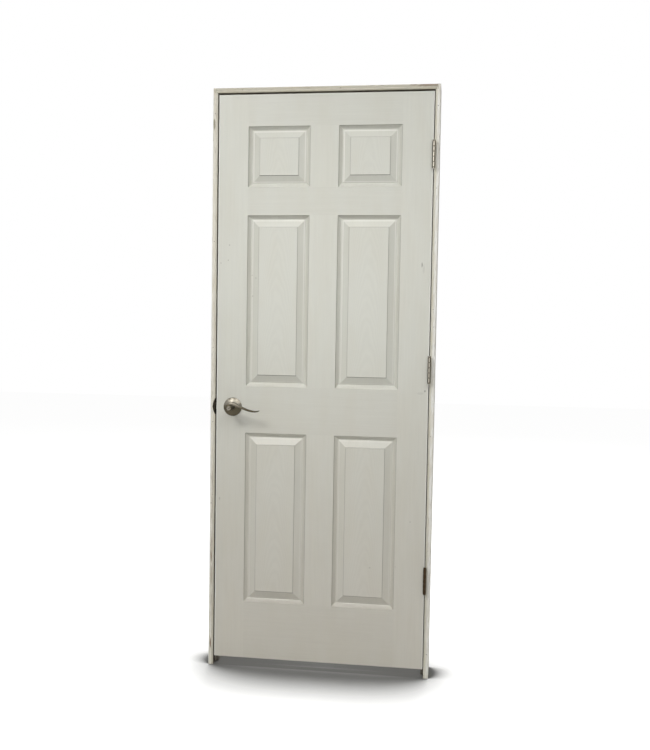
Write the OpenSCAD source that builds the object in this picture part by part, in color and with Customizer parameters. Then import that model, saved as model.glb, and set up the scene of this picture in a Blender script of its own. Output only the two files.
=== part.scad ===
// Prehung interior door: a six-panel moulded leaf on three butt hinges in a jamb frame, with a wave lever.
// All sizes in millimetres. +X runs to the viewer's right, -Y faces the viewer (the pull side), +Z is up.
// The origin lies on the outer face of the hinge jamb, at the feet, in the middle of the jamb's depth.

/* [Door leaf] */
// Width of the leaf
leaf_w = 762; // [700:1:914]
// Height of the leaf
leaf_h = 2032; // [1980:1:2134]
// Thickness of the leaf
leaf_t = 35; // [34:0.5:45]
// Thickness of each moulded facing
skin_t = 3.2; // [2.6:0.1:3.6]
// Width of the hidden solid edge strips and of the top and bottom strips
edge_strip_w = 32; // [28:1:40]
// How far the lock edge slants back across the thickness
lock_bevel = 1.8; // [0:0.1:3]

/* [Panels] */
// Width of the flat margin beside the panels, left and right
stile_w = 107.5; // [104:0.5:120]
// Width of the flat strip between the two columns of panels
mullion_w = 100; // [60:1:110]
// Height of the flat margin above the top panels
top_margin = 111.5; // [80:0.5:130]
// Height of the two top panels
top_panel_h = 214.5; // [160:0.5:260]
// Height of the flat band under the top panels
upper_band = 99; // [70:0.5:130]
// Height of the flat band at the lock
lock_band = 169; // [120:0.5:220]
// Height of the two bottom panels
low_panel_h = 619; // [500:1:680]
// Height of the flat margin under the bottom panels
bottom_margin = 207.5; // [160:0.5:260]

/* [Panel moulding] */
// Width of the whole moulding, from the flat margin to the raised field
mould_w = 42; // [36:0.5:46]
// Width of the hollow slope at its outer side
cove_w = 13.5; // [11:0.5:15]
// How hollow that slope is at its middle
cove_bow = 1.2; // [0.4:0.1:1.6]
// Width of the flat groove at the foot of the slope
groove_w = 1.5; // [1:0.1:3]
// Width of the steep shoulder where the bevel starts
shoulder_w = 4; // [2.5:0.5:5]
// Height of that shoulder
shoulder_h = 2.3; // [1:0.1:2.6]
// Depth of the groove below the face
groove_d = 9.5; // [6:0.5:10]
// Depth of the crisp edge where the slope starts
quirk_d = 1.2; // [0.6:0.1:2]
// Height of the small step up to the raised field
field_step = 2.2; // [0.8:0.1:2.6]
// How far the raised field lies below the face
field_drop = 0.4; // [0.2:0.1:1]

/* [Frame] */
// Thickness of the jamb boards
jamb_t = 17.5; // [16:0.5:20]
// Depth of the jamb boards, through the wall
jamb_d = 116; // [110:1:140]
// Gap between the leaf and the hinge jamb
hinge_gap = 3.2; // [3:0.1:4]
// Gap between the leaf and the strike jamb
latch_gap = 5; // [5:0.1:8]
// Gap between the leaf and the head jamb
head_gap = 7; // [5:0.1:8]
// Height of the leaf's bottom above the jamb feet
floor_gap = 33; // [10:1:50]
// Thickness of the door stop strips
stop_t = 10.5; // [9:0.5:13]
// Width of the door stop strips
stop_w = 32; // [28:1:38]
// Gap between the leaf's back and the stop strips
stop_gap = 5; // [5:0.5:8]
// Small chamfer along the long edges of the boards
edge_ease = 1.2; // [0.5:0.1:2]

/* [Hinges] */
// Height of each hinge
hinge_h = 89; // [80:1:102]
// Thickness of the hinge plates
plate_t = 2.2; // [1.8:0.1:2.6]
// How far a hinge plate reaches back from the leaf's face
plate_reach = 29; // [26:0.5:30]
// Corner radius of the hinge plates
plate_corner_r = 15.9; // [8:0.1:16]
// Diameter of the hinge barrel
barrel_d = 11; // [10:0.1:12]
// Diameter of the hinge pin
pin_d = 6.6; // [6:0.1:7.4]
// Height of the pin's cap above the barrel
pin_cap_h = 4; // [2:0.5:5]
// Height of the pin's tapered tip below the barrel
pin_tip_h = 5; // [2:0.5:6]
// Distance of the pin's axis in front of the leaf's face
pin_out = 13; // [12:0.5:15]
// Distance from the top of the leaf to the top of the top hinge
top_hinge_drop = 173; // [120:1:200]
// Distance from the bottom of the leaf to the bottom of the bottom hinge
low_hinge_rise = 277; // [200:1:300]

/* [Lever set] */
// Distance of the lever's axis from the lock edge
backset = 60.3; // [60:0.1:70]
// Height of the lever's axis above the bottom of the leaf
lever_z = 920; // [880:1:980]
// Diameter of the domed roses
rose_d = 67; // [64:0.5:76]
// Height of the rose's dome
rose_h = 14; // [10:0.5:16]
// Diameter of the lever's round hub
hub_d = 23.6; // [22:0.2:26]
// How far the hub's end stands out from the leaf's face
lever_out = 65; // [60:1:72]
// Length of the lever arm from the axis to its tip
lever_len = 108; // [98:1:116]
// Diameter of the bore through the leaf
cross_bore_d = 54; // [50:0.5:56]
// Diameter of the bore in from the lock edge
edge_bore_d = 25.4; // [24:0.2:25.6]
// Width of the latch faceplate
faceplate_w = 25.4; // [24:0.2:26]
// Height of the latch faceplate and of the strike plate
faceplate_h = 57; // [52:1:60]
// Width of the strike plate's round lip on the jamb's front edge
strike_lip = 9.5; // [8:0.5:12]
// Height of the solid block that backs the lock
lock_block_h = 300; // [240:10:400]

/* [Hidden] */
$fn = 48;
slip = 0.3;                          // clearance round a plate in its recess
run = 0.05;                          // running clearance of a pin in its knuckle
over = 1;                            // how far a cut runs past the face that it opens
panel_gap = 4;                       // gap between the lock block and the panels' moulding
step_w = 1.2;                        // width of the small step at the raised field
jx = -jamb_t;                        // inner face of the hinge jamb
hx = jx - hinge_gap;                 // hinge edge of the leaf
lx = hx - leaf_w;                    // lock edge of the leaf
sx = lx - latch_gap;                 // inner face of the strike jamb
ox = sx - jamb_t;                    // outer face of the strike jamb
fy = -jamb_d / 2;                    // front edges of the jambs and front face of the leaf
by = fy + leaf_t;                    // back face of the leaf
mid_y = (fy + by) / 2;
z0 = floor_gap;                      // bottom of the leaf
zt = z0 + leaf_h;                    // top of the leaf
hz = zt + head_gap;                  // underside of the head jamb
top_z = hz + jamb_t;                 // top of the frame
tongue = jamb_t / 2;                 // how far the head jamb enters each side jamb
stop_round = 5;                      // radius along the stops' free corner
pin_x = jx - hinge_gap / 2;
pin_y = fy - pin_out;
knuckle_h = hinge_h / 5;
knuckle_gap = 0.5;                   // gap between two knuckles
knuckle_ease = 0.8;                  // chamfer at a knuckle's ends
pin_seat = 0.4;                      // gap between the barrel and the pin's cap and tip
top_hinge_z = zt - top_hinge_drop - hinge_h;
low_hinge_z = z0 + low_hinge_rise;
hinge_low = [top_hinge_z, (top_hinge_z + low_hinge_z) / 2, low_hinge_z];
panel_w = (leaf_w - 2 * stile_w - mullion_w) / 2;
mid_panel_h = leaf_h - top_margin - top_panel_h - upper_band - lock_band - low_panel_h - bottom_margin;
low_panel_z = z0 + bottom_margin;
mid_panel_z = low_panel_z + low_panel_h + lock_band;
top_panel_z = mid_panel_z + mid_panel_h + upper_band;
left_panel_x = lx + stile_w;
right_panel_x = left_panel_x + panel_w + mullion_w;
axis_x = lx + backset;
axis_z = z0 + lever_z;
strike_t = 1.6;
strike_tail = 16;                    // how far the strike plate reaches past the latch's middle
strike_back = leaf_t / 2 + strike_tail;
strike_hole = [14, 26];              // depth and height of the hole in the strike plate
pocket = [14, 18, 32];               // the jamb's pocket behind it: into the wood, along the depth, up
lip_r = (pow(faceplate_h / 2, 2) + pow(strike_lip, 2)) / (2 * strike_lip);
bolt = [30, 12, 16];                 // the latch bolt's length, width and height
bolt_slant = 8;                      // length of the bolt's slanted nose
bolt_slip = 0.3;                     // clearance round the latch bolt
case_slip = 1;                       // clearance round the latch case in its bore
case_box = [32, 14, 20];             // the latch case round the spindle
case_past = 10;                      // how far the latch case reaches past the lever's axis
rose_rim = 2.5;                      // height of the rose's straight rim
rose_wall = 4;                       // width of the rim's foot
hub_wall = 1.6;                      // how much thinner the neck is than the hub
hub_h = 14;                          // height of the hub's straight part
hub_flare = 8;                       // height of the flare from neck to hub
hub_ease = 2;                        // rounding at the hub's end
neck_r = hub_d / 2 - hub_wall;
dish_d = 17;                         // the shallow dish in the hub's end
dish_h = 1.5;
spindle_w = 7.6;
spindle_reach = 29;                  // how far the spindle enters each lever
button_d = 15.6;                     // the privacy lock's turn button, and its stem
button_h = 3;
button_top_d = 12;
stem_d = 8;
stem_h = 7;
release_d = 3;                       // the release hole in the back lever

// A box given by its two far corners.
module block(a, b) {
    translate(a) cube([b[0] - a[0], b[1] - a[1], b[2] - a[2]]);
}

// Recess of a hinge plate in a face at x, going dir (+1 or -1) along X into the wood. grow widens it.
module plate_shape(x, dir, low, grow) {
    r = plate_corner_r;
    back = fy + plate_reach + grow;
    lo = low - grow;
    hi = low + hinge_h + grow;
    translate([dir > 0 ? x : x - plate_t, 0, 0]) rotate([90, 0, 90]) linear_extrude(plate_t)
        difference() {
            translate([fy, lo]) square([back - fy, hi - lo]);
            translate([back - r, lo]) difference() {
                translate([0, -over]) square([r + over, r + over]);
                translate([0, r]) circle(r, $fn = 64);
            }
            translate([back - r, hi - r]) difference() {
                square([r + over, r + over]);
                circle(r, $fn = 64);
            }
        }
}

// A jamb board's section with eased long edges, x from a to b.
module board_section(a, b) {
    e = edge_ease;
    f = jamb_d / 2;
    polygon([[a + e, -f], [b - e, -f], [b, -f + e], [b, f - e], [b - e, f], [a + e, f], [a, f - e], [a, -f + e]]);
}

module hinge_jamb() {
    color("#d8d6cc") difference() {
        linear_extrude(top_z) board_section(jx, 0);
        block([jx - over, -jamb_d, hz], [jx + tongue, jamb_d, top_z + over]);
        for (low = hinge_low) plate_shape(jx, 1, low, slip);
    }
}

module strike_jamb() {
    color("#d8d6cc") difference() {
        linear_extrude(top_z) board_section(ox, sx);
        block([sx - tongue, -jamb_d, hz], [sx + over, jamb_d, top_z + over]);
        strike_body(slip);
        block([sx - pocket[0], mid_y - pocket[1] / 2, axis_z - pocket[2] / 2],
              [sx + over, mid_y + pocket[1] / 2, axis_z + pocket[2] / 2]);
    }
}

module head_jamb() {
    e = edge_ease;
    f = jamb_d / 2;
    color("#dcdad0") translate([sx - tongue, 0, 0]) rotate([90, 0, 90]) linear_extrude(jx - sx + 2 * tongue)
        polygon([[-f + e, hz], [f - e, hz], [f, hz + e], [f, top_z - e], [f - e, top_z], [-f + e, top_z],
                 [-f, top_z - e], [-f, hz + e]]);
}

// A stop strip's section: square towards the leaf, rounded at its free back corner.
module stop_section() {
    r = stop_round;
    difference() {
        square([stop_w, stop_t]);
        translate([stop_w - r, stop_t - r]) difference() {
            square([r + over, r + over]);
            circle(r);
        }
    }
}

module hinge_side_stop() {
    color("#d4d2c8") translate([jx, by + stop_gap, 0]) rotate([0, 0, 90]) linear_extrude(hz - stop_t) stop_section();
}

module strike_side_stop() {
    color("#d4d2c8") translate([sx, by + stop_gap, 0]) mirror([1, 0, 0]) rotate([0, 0, 90])
        linear_extrude(hz - stop_t) stop_section();
}

module head_stop() {
    color("#d4d2c8") translate([sx, by + stop_gap, hz]) mirror([0, 0, 1]) rotate([90, 0, 90])
        linear_extrude(jx - sx) stop_section();
}

// The strike plate's outside form: a plate in the jamb's inner face and a round lip over its front edge.
module strike_body(grow) {
    g = grow;
    h = faceplate_h / 2 + g;
    block([sx - strike_t, fy - strike_t, axis_z - h], [sx + (g > 0 ? over : 0), fy + strike_back + g, axis_z + h]);
    translate([0, fy + (g > 0 ? strike_t : 0), 0]) rotate([90, 0, 0])
        linear_extrude(strike_t + (g > 0 ? strike_t : 0)) intersection() {
            translate([sx - strike_lip + lip_r - g, axis_z]) circle(lip_r, $fn = 96);
            translate([sx - strike_lip - over, axis_z - h]) square([strike_lip + over, 2 * h]);
        }
}

module strike_plate() {
    color("#8d8778") difference() {
        strike_body(0);
        block([sx - strike_t - over, mid_y - strike_hole[0] / 2, axis_z - strike_hole[1] / 2],
              [sx + over, mid_y + strike_hole[0] / 2, axis_z + strike_hole[1] / 2]);
    }
}

// One knuckle of a hinge, with softened ends.
module knuckle(z) {
    r = barrel_d / 2;
    h = knuckle_h - knuckle_gap;
    e = knuckle_ease;
    translate([pin_x, pin_y, z + knuckle_gap / 2]) rotate_extrude($fn = 64)
        polygon([[0, 0], [r - e, 0], [r, e], [r, h - e], [r - e, h], [0, h]]);
}

// Half a hinge: its plate in the face at px, and the knuckles numbered in own.
module hinge_half(low, side, own) {
    px = side > 0 ? jx : hx;
    difference() {
        union() {
            plate_shape(px, side, low, 0);
            for (k = own) {
                z = low + k * knuckle_h + knuckle_gap / 2;
                knuckle(low + k * knuckle_h);
                block([side > 0 ? px : px - plate_t, pin_y, z],
                      [side > 0 ? px + plate_t : px, fy + over, z + knuckle_h - knuckle_gap]);
            }
        }
        translate([pin_x, pin_y, low - over]) cylinder(d = pin_d + 2 * run, h = hinge_h + 2 * over, $fn = 64);
    }
}

// A hinge pin: a tapered tip, the shaft and a cap with a softened edge.
module hinge_pin(low) {
    r = pin_d / 2;
    cap_r = barrel_d / 2 - pin_seat;
    top = hinge_h + pin_seat;
    translate([pin_x, pin_y, low]) rotate_extrude($fn = 64)
        polygon([[0, -pin_seat - pin_tip_h], [r - over, -pin_seat - pin_tip_h], [cap_r, -pin_seat - pin_tip_h / 3],
                 [cap_r, -pin_seat], [r, -pin_seat], [r, top], [cap_r, top], [cap_r, top + pin_cap_h - over],
                 [cap_r - over, top + pin_cap_h], [0, top + pin_cap_h]]);
}

module top_hinge_frame_leaf() { color("#9a958a") hinge_half(hinge_low[0], 1, [0, 2, 4]); }
module middle_hinge_frame_leaf() { color("#9a958a") hinge_half(hinge_low[1], 1, [0, 2, 4]); }
module bottom_hinge_frame_leaf() { color("#9a958a") hinge_half(hinge_low[2], 1, [0, 2, 4]); }
module top_hinge_door_leaf() { color("#a8a398") hinge_half(hinge_low[0], -1, [1, 3]); }
module middle_hinge_door_leaf() { color("#a8a398") hinge_half(hinge_low[1], -1, [1, 3]); }
module bottom_hinge_door_leaf() { color("#a8a398") hinge_half(hinge_low[2], -1, [1, 3]); }
module top_hinge_pin() { color("#b3aea3") hinge_pin(hinge_low[0]); }
module middle_hinge_pin() { color("#b3aea3") hinge_pin(hinge_low[1]); }
module bottom_hinge_pin() { color("#b3aea3") hinge_pin(hinge_low[2]); }

// x of the leaf's slanted lock edge at depth y.
function edge_x(y) = lx + lock_bevel * (y - fy) / leaf_t;

// A board of the leaf from depth y1 to y2, with the lock edge's slant.
module leaf_board(y1, y2, x2, z1, z2) {
    translate([0, 0, z1]) linear_extrude(z2 - z1)
        polygon([[edge_x(y1), y1], [x2, y1], [x2, y2], [edge_x(y2), y2]]);
}

// Depth of the hollow slope at a distance t from the moulding's outer edge.
cove_n = 6;
function cove(t) = let (u = t / cove_w) quirk_d + (groove_d - quirk_d) * u + 4 * cove_bow * u * (1 - u);

// The hollow over the outer slope and the groove, across a panel w wide.
module slope_profile(w) {
    polygon(concat([[0, -over], [0, quirk_d]],
        [for (i = [1:cove_n]) let (t = cove_w * i / cove_n) [t, cove(t)]],
        [for (i = [cove_n:-1:1]) let (t = cove_w * i / cove_n) [w - t, cove(t)]],
        [[w, quirk_d], [w, -over]]));
}

// The raised middle of a panel: steep shoulder, bevel, small step and flat field.
module field_profile(w) {
    half = [[cove_w + groove_w, groove_d + over], [cove_w + groove_w, groove_d],
            [cove_w + groove_w + shoulder_w, groove_d - shoulder_h],
            [mould_w - step_w, field_drop + field_step], [mould_w, field_drop]];
    n = len(half) - 1;
    polygon(concat(half, [for (i = [n:-1:0]) [w - half[i][0], half[i][1]]]));
}

// Lays a profile across a panel: drawn in X and Y, and run along Z for a length of h.
module run_up(h) { translate([0, 0, -over]) linear_extrude(h + 2 * over) children(); }

// Lays a profile up a panel: run along X for a width of w.
module run_across(w) {
    translate([-over, 0, 0]) mirror([0, 0, 1]) rotate([0, 90, 0]) linear_extrude(w + 2 * over) children();
}

// The mitred hollow that a panel presses into the face, in X (across), Y (depth) and Z (up).
module panel_hollow(w, h) {
    difference() {
        intersection() {
            run_up(h) slope_profile(w);
            run_across(w) slope_profile(h);
        }
        intersection() {
            run_up(h) field_profile(w);
            run_across(w) field_profile(h);
        }
    }
}

// The six panels as [x, z, height].
panels = [for (x = [left_panel_x, right_panel_x]) for (p = [[low_panel_z, low_panel_h], [mid_panel_z, mid_panel_h],
          [top_panel_z, top_panel_h]]) [x, p[0], p[1]]];

// The leaf's face as a block with its six hollows, wider by grow all round.
module face_form(grow, thick) {
    difference() {
        block([lx - grow, fy, z0 - grow], [hx + grow, fy + thick, zt + grow]);
        for (p = panels) translate([p[0], fy, p[1]]) panel_hollow(panel_w, p[2]);
    }
}

// A moulded facing at the front: a sheet of even thickness behind the face. The back one is its mirror image.
module facing() {
    difference() {
        face_form(0, groove_d + skin_t);
        translate([0, skin_t, 0]) face_form(over, groove_d + skin_t);
        translate([axis_x, fy - over, axis_z]) rotate([-90, 0, 0])
            cylinder(d = cross_bore_d, h = skin_t + 2 * over, $fn = 96);
    }
}

module front_skin() {
    color("#dddcd2") difference() {
        facing();
        for (low = hinge_low) plate_shape(hx, -1, low, slip);
    }
}

module back_skin() {
    color("#dddcd2") difference() {
        translate([0, 2 * mid_y, 0]) mirror([0, 1, 0]) facing();
        translate([0, 0, z0 - over]) linear_extrude(leaf_h + 2 * over)
            polygon([[lx - over, fy], [edge_x(fy), fy], [edge_x(by + over), by + over], [lx - over, by + over]]);
    }
}

module hinge_stile() {
    color("#c9b48c") difference() {
        block([hx - edge_strip_w, fy + skin_t, z0], [hx, by - skin_t, zt]);
        for (low = hinge_low) plate_shape(hx, -1, low, slip);
    }
}

module edge_bore() {
    translate([lx - over, mid_y, axis_z]) rotate([0, 90, 0]) cylinder(d = edge_bore_d, h = backset, $fn = 64);
}

module lock_stile() {
    color("#c9b48c") difference() {
        leaf_board(fy + skin_t, by - skin_t, lx + edge_strip_w, z0, zt);
        block([lx - over, mid_y - faceplate_w / 2 - slip / 2, axis_z - faceplate_h / 2 - slip],
              [lx + lock_bevel + plate_t, mid_y + faceplate_w / 2 + slip / 2, axis_z + faceplate_h / 2 + slip]);
        edge_bore();
    }
}

module top_rail() {
    color("#c9b48c") block([lx + edge_strip_w, fy + skin_t, zt - edge_strip_w],
                           [hx - edge_strip_w, by - skin_t, zt]);
}

module bottom_rail() {
    color("#c9b48c") block([lx + edge_strip_w, fy + skin_t, z0],
                           [hx - edge_strip_w, by - skin_t, z0 + edge_strip_w]);
}

module lock_block() {
    color("#c4ab7d") difference() {
        block([lx + edge_strip_w, fy + skin_t, axis_z - lock_block_h / 2],
              [lx + stile_w - panel_gap, by - skin_t, axis_z + lock_block_h / 2]);
        edge_bore();
        translate([axis_x, fy, axis_z]) rotate([-90, 0, 0]) cylinder(d = cross_bore_d, h = leaf_t, $fn = 96);
    }
}

// Room for the latch bolt from the lock edge, to a length of reach.
module bolt_room(reach) {
    block([lx, mid_y - bolt[1] / 2 - bolt_slip, axis_z - bolt[2] / 2 - bolt_slip],
          [lx + reach, mid_y + bolt[1] / 2 + bolt_slip, axis_z + bolt[2] / 2 + bolt_slip]);
}

module latch_faceplate() {
    color("#a39e92") difference() {
        block([lx + lock_bevel, mid_y - faceplate_w / 2, axis_z - faceplate_h / 2],
              [lx + lock_bevel + plate_t, mid_y + faceplate_w / 2, axis_z + faceplate_h / 2]);
        bolt_room(bolt[0]);
    }
}

module latch_case() {
    tube = backset - lock_bevel - plate_t + case_past - case_box[0] + over;
    color("#8f8a7e") difference() {
        union() {
            translate([lx + lock_bevel + plate_t, mid_y, axis_z]) rotate([0, 90, 0])
                cylinder(d = edge_bore_d - 2 * case_slip, h = tube, $fn = 64);
            block([axis_x + case_past - case_box[0], mid_y - case_box[1] / 2, axis_z - case_box[2] / 2],
                  [axis_x + case_past, mid_y + case_box[1] / 2, axis_z + case_box[2] / 2]);
        }
        bolt_room(bolt[0]);
        translate([axis_x, fy, axis_z]) rotate([-90, 0, 0]) cylinder(d = spindle_w * 1.5, h = leaf_t);
    }
}

// The latch bolt, drawn back so that its slanted nose lies in the faceplate.
module latch_bolt() {
    w = bolt[1] / 2;
    color("#b8b3a8") translate([lx, mid_y, axis_z - bolt[2] / 2]) linear_extrude(bolt[2])
        polygon([[lock_bevel + bolt_slant, -w], [bolt[0], -w], [bolt[0], w], [lock_bevel, w], [lock_bevel, w / 2]]);
}

// A domed rose, bored for the lever's neck, drawn along +Z.
module rose() {
    r = rose_d / 2;
    rise = rose_h - rose_rim;
    ball = (r * r + rise * rise) / (2 * rise);
    rotate_extrude($fn = 96) difference() {
        union() {
            square([r, rose_rim]);
            intersection() {
                translate([0, rose_rim]) square([r, rise]);
                translate([0, rose_h - ball]) circle(ball, $fn = 180);
            }
        }
        translate([-over, -over]) square([over + neck_r + slip, rose_h + 2 * over]);
        translate([0, -over]) square([r - rose_wall, rose_rim + over]);
    }
}

module face_front() { translate([axis_x, fy, axis_z]) rotate([90, 0, 0]) children(); }
module face_back() { translate([axis_x, by, axis_z]) mirror([0, 1, 0]) rotate([90, 0, 0]) children(); }

module front_rose() { color("#b9b4a8") face_front() rose(); }
module back_rose() { color("#b9b4a8") face_back() rose(); }

// Middle line of the arm, drawn from the hub's left side over its top and out to the tip:
// [along, up, back from the hub's end, half height, half depth], scaled by the arm's length.
arm = [[-11.5, 3.5, 9, 1.6, 5], [-9, 9, 9, 3.2, 6], [-3.5, 13.2, 8.9, 4.8, 7], [5, 15, 8.7, 6.2, 7.6],
       [13, 15.4, 8.4, 6.8, 8], [20, 13.6, 8, 6.2, 8.2], [27, 10.6, 7.8, 5.3, 8.1], [35.5, 6.8, 7.8, 4.6, 8],
       [45, 2.6, 8, 4.3, 7.7], [55, -1.9, 8.6, 4.2, 7.4], [65, -5.8, 9.8, 4, 7.1], [75, -8.8, 11.4, 3.8, 6.8],
       [85, -10.7, 13.2, 3.3, 6.4], [93, -11.4, 15, 2.8, 5.9], [100, -10.6, 16.8, 2.4, 5.2],
       [105, -9, 18.2, 1.9, 4.2], [107.6, -7.8, 19, 1.1, 2.6]];
arm_side = 20;
arm_last = len(arm) - 1;
arm_k = lever_len / arm[arm_last][0];
arm_square = 2 / 2.6;                // how much fuller than an ellipse the arm's section is
function full(c) = sign(c) * pow(abs(c), arm_square);
function arm_dir(i) = let (a = arm[max(i - 1, 0)], b = arm[min(i + 1, arm_last)], d = [b[0] - a[0], b[1] - a[1]])
    d / norm(d);
function arm_ring(i) = let (p = arm[i], t = arm_dir(i)) [for (j = [0:arm_side - 1]) let (a = 360 * j / arm_side,
    h = p[3] * full(cos(a)), w = p[4] * full(sin(a)))
    [p[0] * arm_k - t[1] * h, p[1] + t[0] * h, lever_out - p[2] + w]];

module arm_form() {
    rings = [for (i = [0:arm_last]) each arm_ring(i)];
    last = arm_last * arm_side;
    polyhedron(points = rings, faces = concat(
        [[for (j = [0:arm_side - 1]) j]],
        [for (i = [0:arm_last - 1]) for (j = [0:arm_side - 1]) let (a = i * arm_side + j,
            b = i * arm_side + (j + 1) % arm_side) [a, a + arm_side, b + arm_side]],
        [for (i = [0:arm_last - 1]) for (j = [0:arm_side - 1]) let (a = i * arm_side + j,
            b = i * arm_side + (j + 1) % arm_side) [a, b + arm_side, b]],
        [[for (j = [arm_side - 1:-1:0]) last + j]]));
}

// A lever drawn along +X with its axis on Z: neck, round hub with a dished end, and the wave arm.
module lever(hole_d) {
    e = lever_out;
    r = hub_d / 2;
    foot = 2;
    room = spindle_w + slip;
    difference() {
        union() {
            rotate_extrude($fn = 96) polygon([[0, foot], [neck_r, foot], [neck_r, e - hub_h - hub_flare],
                [r, e - hub_h], [r, e - hub_ease], [r - hub_ease / 3, e - hub_ease / 3], [r - hub_ease, e], [0, e]]);
            arm_form();
        }
        translate([0, 0, e - dish_h]) cylinder(d = dish_d, h = dish_h + over, $fn = 64);
        translate([0, 0, e - dish_h - stem_h - over]) cylinder(d = hole_d, h = stem_h + 2 * over);
        translate([-room / 2, -room / 2, 0]) cube([room, room, spindle_reach + over]);
    }
}

module front_lever() { color("#a7a295") face_front() lever(stem_d + slip); }
module back_lever() { color("#a7a295") face_back() lever(release_d); }

module spindle() {
    color("#8a857a") translate([axis_x - spindle_w / 2, fy - spindle_reach, axis_z - spindle_w / 2])
        cube([spindle_w, leaf_t + 2 * spindle_reach, spindle_w]);
}

// The privacy lock's turn button in the front lever's dish, on its stem.
module privacy_button() {
    color("#bdb8ac") face_front() translate([0, 0, lever_out - dish_h]) {
        cylinder(d = button_d, h = button_h / 2, $fn = 64);
        translate([0, 0, button_h / 2]) cylinder(d1 = button_d, d2 = button_top_d, h = button_h / 2, $fn = 64);
        translate([0, 0, -stem_h]) cylinder(d = stem_d, h = stem_h + over);
    }
}

hinge_jamb();
strike_jamb();
head_jamb();
hinge_side_stop();
strike_side_stop();
head_stop();
strike_plate();
top_hinge_frame_leaf();
middle_hinge_frame_leaf();
bottom_hinge_frame_leaf();
top_hinge_pin();
middle_hinge_pin();
bottom_hinge_pin();
front_skin();
back_skin();
hinge_stile();
lock_stile();
top_rail();
bottom_rail();
lock_block();
top_hinge_door_leaf();
middle_hinge_door_leaf();
bottom_hinge_door_leaf();
latch_faceplate();
latch_case();
latch_bolt();
front_rose();
back_rose();
front_lever();
back_lever();
spindle();
privacy_button();
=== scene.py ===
import math

import bpy
from mathutils import Matrix, Vector, noise


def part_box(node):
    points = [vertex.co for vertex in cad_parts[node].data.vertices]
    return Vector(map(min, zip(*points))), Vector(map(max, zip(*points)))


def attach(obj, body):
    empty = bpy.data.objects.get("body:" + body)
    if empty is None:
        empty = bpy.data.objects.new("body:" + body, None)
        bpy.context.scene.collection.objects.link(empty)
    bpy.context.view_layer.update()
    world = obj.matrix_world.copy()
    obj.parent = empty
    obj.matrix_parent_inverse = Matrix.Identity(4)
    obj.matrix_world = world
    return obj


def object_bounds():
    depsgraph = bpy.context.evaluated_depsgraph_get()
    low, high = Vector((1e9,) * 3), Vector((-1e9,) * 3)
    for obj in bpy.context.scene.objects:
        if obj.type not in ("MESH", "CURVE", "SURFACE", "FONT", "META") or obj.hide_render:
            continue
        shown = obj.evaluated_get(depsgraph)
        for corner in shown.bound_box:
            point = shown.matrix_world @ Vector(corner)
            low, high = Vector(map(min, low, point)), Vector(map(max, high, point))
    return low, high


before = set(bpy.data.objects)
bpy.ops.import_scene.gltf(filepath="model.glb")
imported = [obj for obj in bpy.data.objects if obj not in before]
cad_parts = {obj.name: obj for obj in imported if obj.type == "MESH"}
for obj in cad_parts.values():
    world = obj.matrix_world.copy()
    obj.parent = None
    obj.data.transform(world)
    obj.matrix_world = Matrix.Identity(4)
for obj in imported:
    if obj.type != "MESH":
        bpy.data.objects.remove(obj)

bl_info = {
    "name": "Prehung door finish",
    "version": (1, 0, 0),
    "blender": (4, 5, 0),
    "location": "View3D > Sidebar > Door",
    "description": "Paint, hardware finish, wear and a plain studio for a prehung interior door",
    "category": "Object",
}

MM = 0.001
CAD_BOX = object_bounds()

FACINGS = ("front_skin", "back_skin")
EDGE_STRIPS = ("hinge_stile", "lock_stile", "top_rail", "bottom_rail")
STOPS = ("hinge_side_stop", "strike_side_stop", "head_stop")
HINGES = ("top", "middle", "bottom")
ROSES = ("front_rose", "back_rose")
LEVERS = ("front_lever", "back_lever")
LATCH = ("latch_faceplate", "latch_case", "latch_bolt", "spindle")

LEAF_LOW, LEAF_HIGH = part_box("front_skin")
HINGE_LOW, HINGE_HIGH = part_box("hinge_jamb")
STRIKE_LOW, STRIKE_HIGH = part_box("strike_jamb")
HEAD_LOW, HEAD_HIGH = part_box("head_jamb")
FRONT = LEAF_LOW.y
LEAF_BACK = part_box("back_skin")[1].y
HINGE_PIN = (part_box("top_hinge_pin")[0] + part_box("top_hinge_pin")[1]) / 2
LEVER_AXIS = (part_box("front_rose")[0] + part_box("front_rose")[1]) / 2

# Places on the front are given across and up in millimetres from the lower lock corner of the leaf's face.
CORNER = Vector((LEAF_LOW.x, FRONT, LEAF_LOW.z))

# The facing's layout: the stiles' width, the panels' lower and upper edges, and the raised fields' own.
STILE_MM = 107.5
PANEL_ROWS_MM = ((207.5, 826.5), (995.5, 1607.0), (1706.0, 1920.5))
FIELD_ROWS_MM = ((251, 787), (1042, 1565), (1749, 1880))
FIELD_COLUMN_MM = (92.5, 231)
FIELD_MIDDLE_MM = 162
PANEL_HALF_MM = 111.5
RIDGE_MM = (17.5, 20.5)
RIM_MM = 1.6
STEP_MM = (40.4, 42.2)
COVE_MM = 13.5
BEVEL_MM = (19, 40.8)
CRISP_MM = (4.6, 5.6)

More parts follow.
